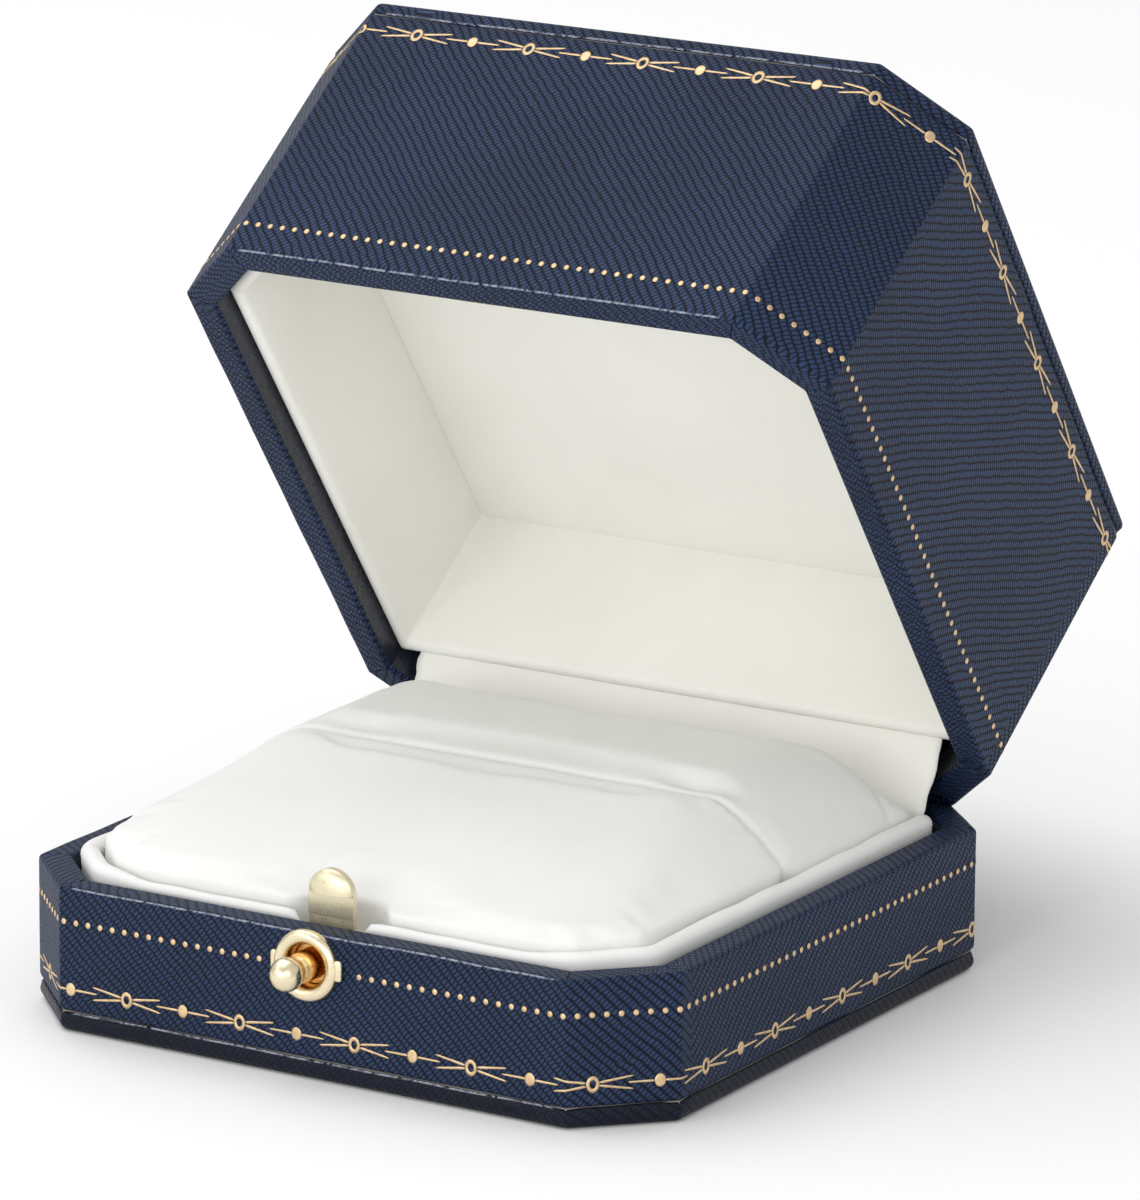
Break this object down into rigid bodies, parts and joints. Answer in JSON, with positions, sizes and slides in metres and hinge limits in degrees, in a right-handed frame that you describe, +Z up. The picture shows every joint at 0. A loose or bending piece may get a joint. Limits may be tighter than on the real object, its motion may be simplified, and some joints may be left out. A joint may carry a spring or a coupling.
{
  "type": "ring box",
  "caption": "Hinged ring box with chamfered corners, leatherette over board, sprung lid, push-button latch and a slotted ring cushion.",
  "frame": {"origin": "centre of the underside of the base", "axes": "+Z up, +Y towards the hinge at the rear, -Y towards the latch at the front"},
  "size_m": [0.07, 0.1007, 0.088],
  "materials": {
    "navy_leatherette": "fine cross-grain, satin",
    "cream_lining": "smooth soft lining, matte",
    "greyboard": "raw board",
    "brass": "polished pale gold",
    "steel": "plain"
  },
  "bodies": {
    "base": {"bottom_board": "greyboard", "bottom_cover": "navy_leatherette", "base_wall_core": "greyboard", "base_wall_cover": "navy_leatherette", "base_floor_card": "greyboard", "collar_liner": "cream_lining", "cushion_board": "greyboard", "cushion_front_pad": "cream_lining", "cushion_rear_pad": "cream_lining", "escutcheon": "brass", "latch_bracket": "steel", "latch_bracket_rivets": "steel", "latch_pivot_pin": "steel", "tongue_spring": "steel", "hinge_base_leaf": "steel", "hinge_base_rivets": "steel", "hinge_pin": "steel", "hinge_spring_left": "steel", "hinge_spring_right": "steel", "hinge_gusset": "cream_lining", "spine_strip": "navy_leatherette"},
    "button": {"push_button": "brass", "button_clip": "steel"},
    "tongue": {"latch_tongue": "brass"},
    "lid": {"lid_wall_core": "greyboard", "lid_wall_cover": "navy_leatherette", "lid_top_board": "greyboard", "lid_top_cover": "navy_leatherette", "lid_lining": "cream_lining", "lid_ceiling_pad": "cream_lining", "lid_ceiling_board": "greyboard", "lid_spacer_frame": "greyboard", "strike_plate": "brass", "strike_rivets": "brass", "hinge_lid_leaf": "steel", "hinge_lid_rivets": "steel"}
  },
  "joints": [
    {"name": "lid_hinge", "type": "hinge", "parent": "base", "child": "lid", "pos_m": [0, 0.0324, 0.0143], "axis": [-1, 0, 0], "range_deg": [-54.2, 0], "stiffness_Nm_per_rad": 0.012, "springref_deg": 28.65, "deforming": ["hinge_spring_left", "hinge_spring_right", "hinge_gusset", "spine_strip"]},
    {"name": "button_push", "type": "slide", "parent": "base", "child": "button", "axis": [0, 1, 0], "range_m": [0, 0.0012], "stiffness_N_per_m": 300, "springref_m": -0.0005},
    {"name": "latch_tilt", "type": "hinge", "parent": "base", "child": "tongue", "pos_m": [0, -0.03085, 0.0046], "axis": [-1, 0, 0], "range_deg": [0, 11.5], "stiffness_Nm_per_rad": 0.002, "deforming": ["tongue_spring"]}
  ],
  "couplings": [
    {"joint": "latch_tilt", "follows": "button_push", "rad_per_m": 166.67}
  ]
}
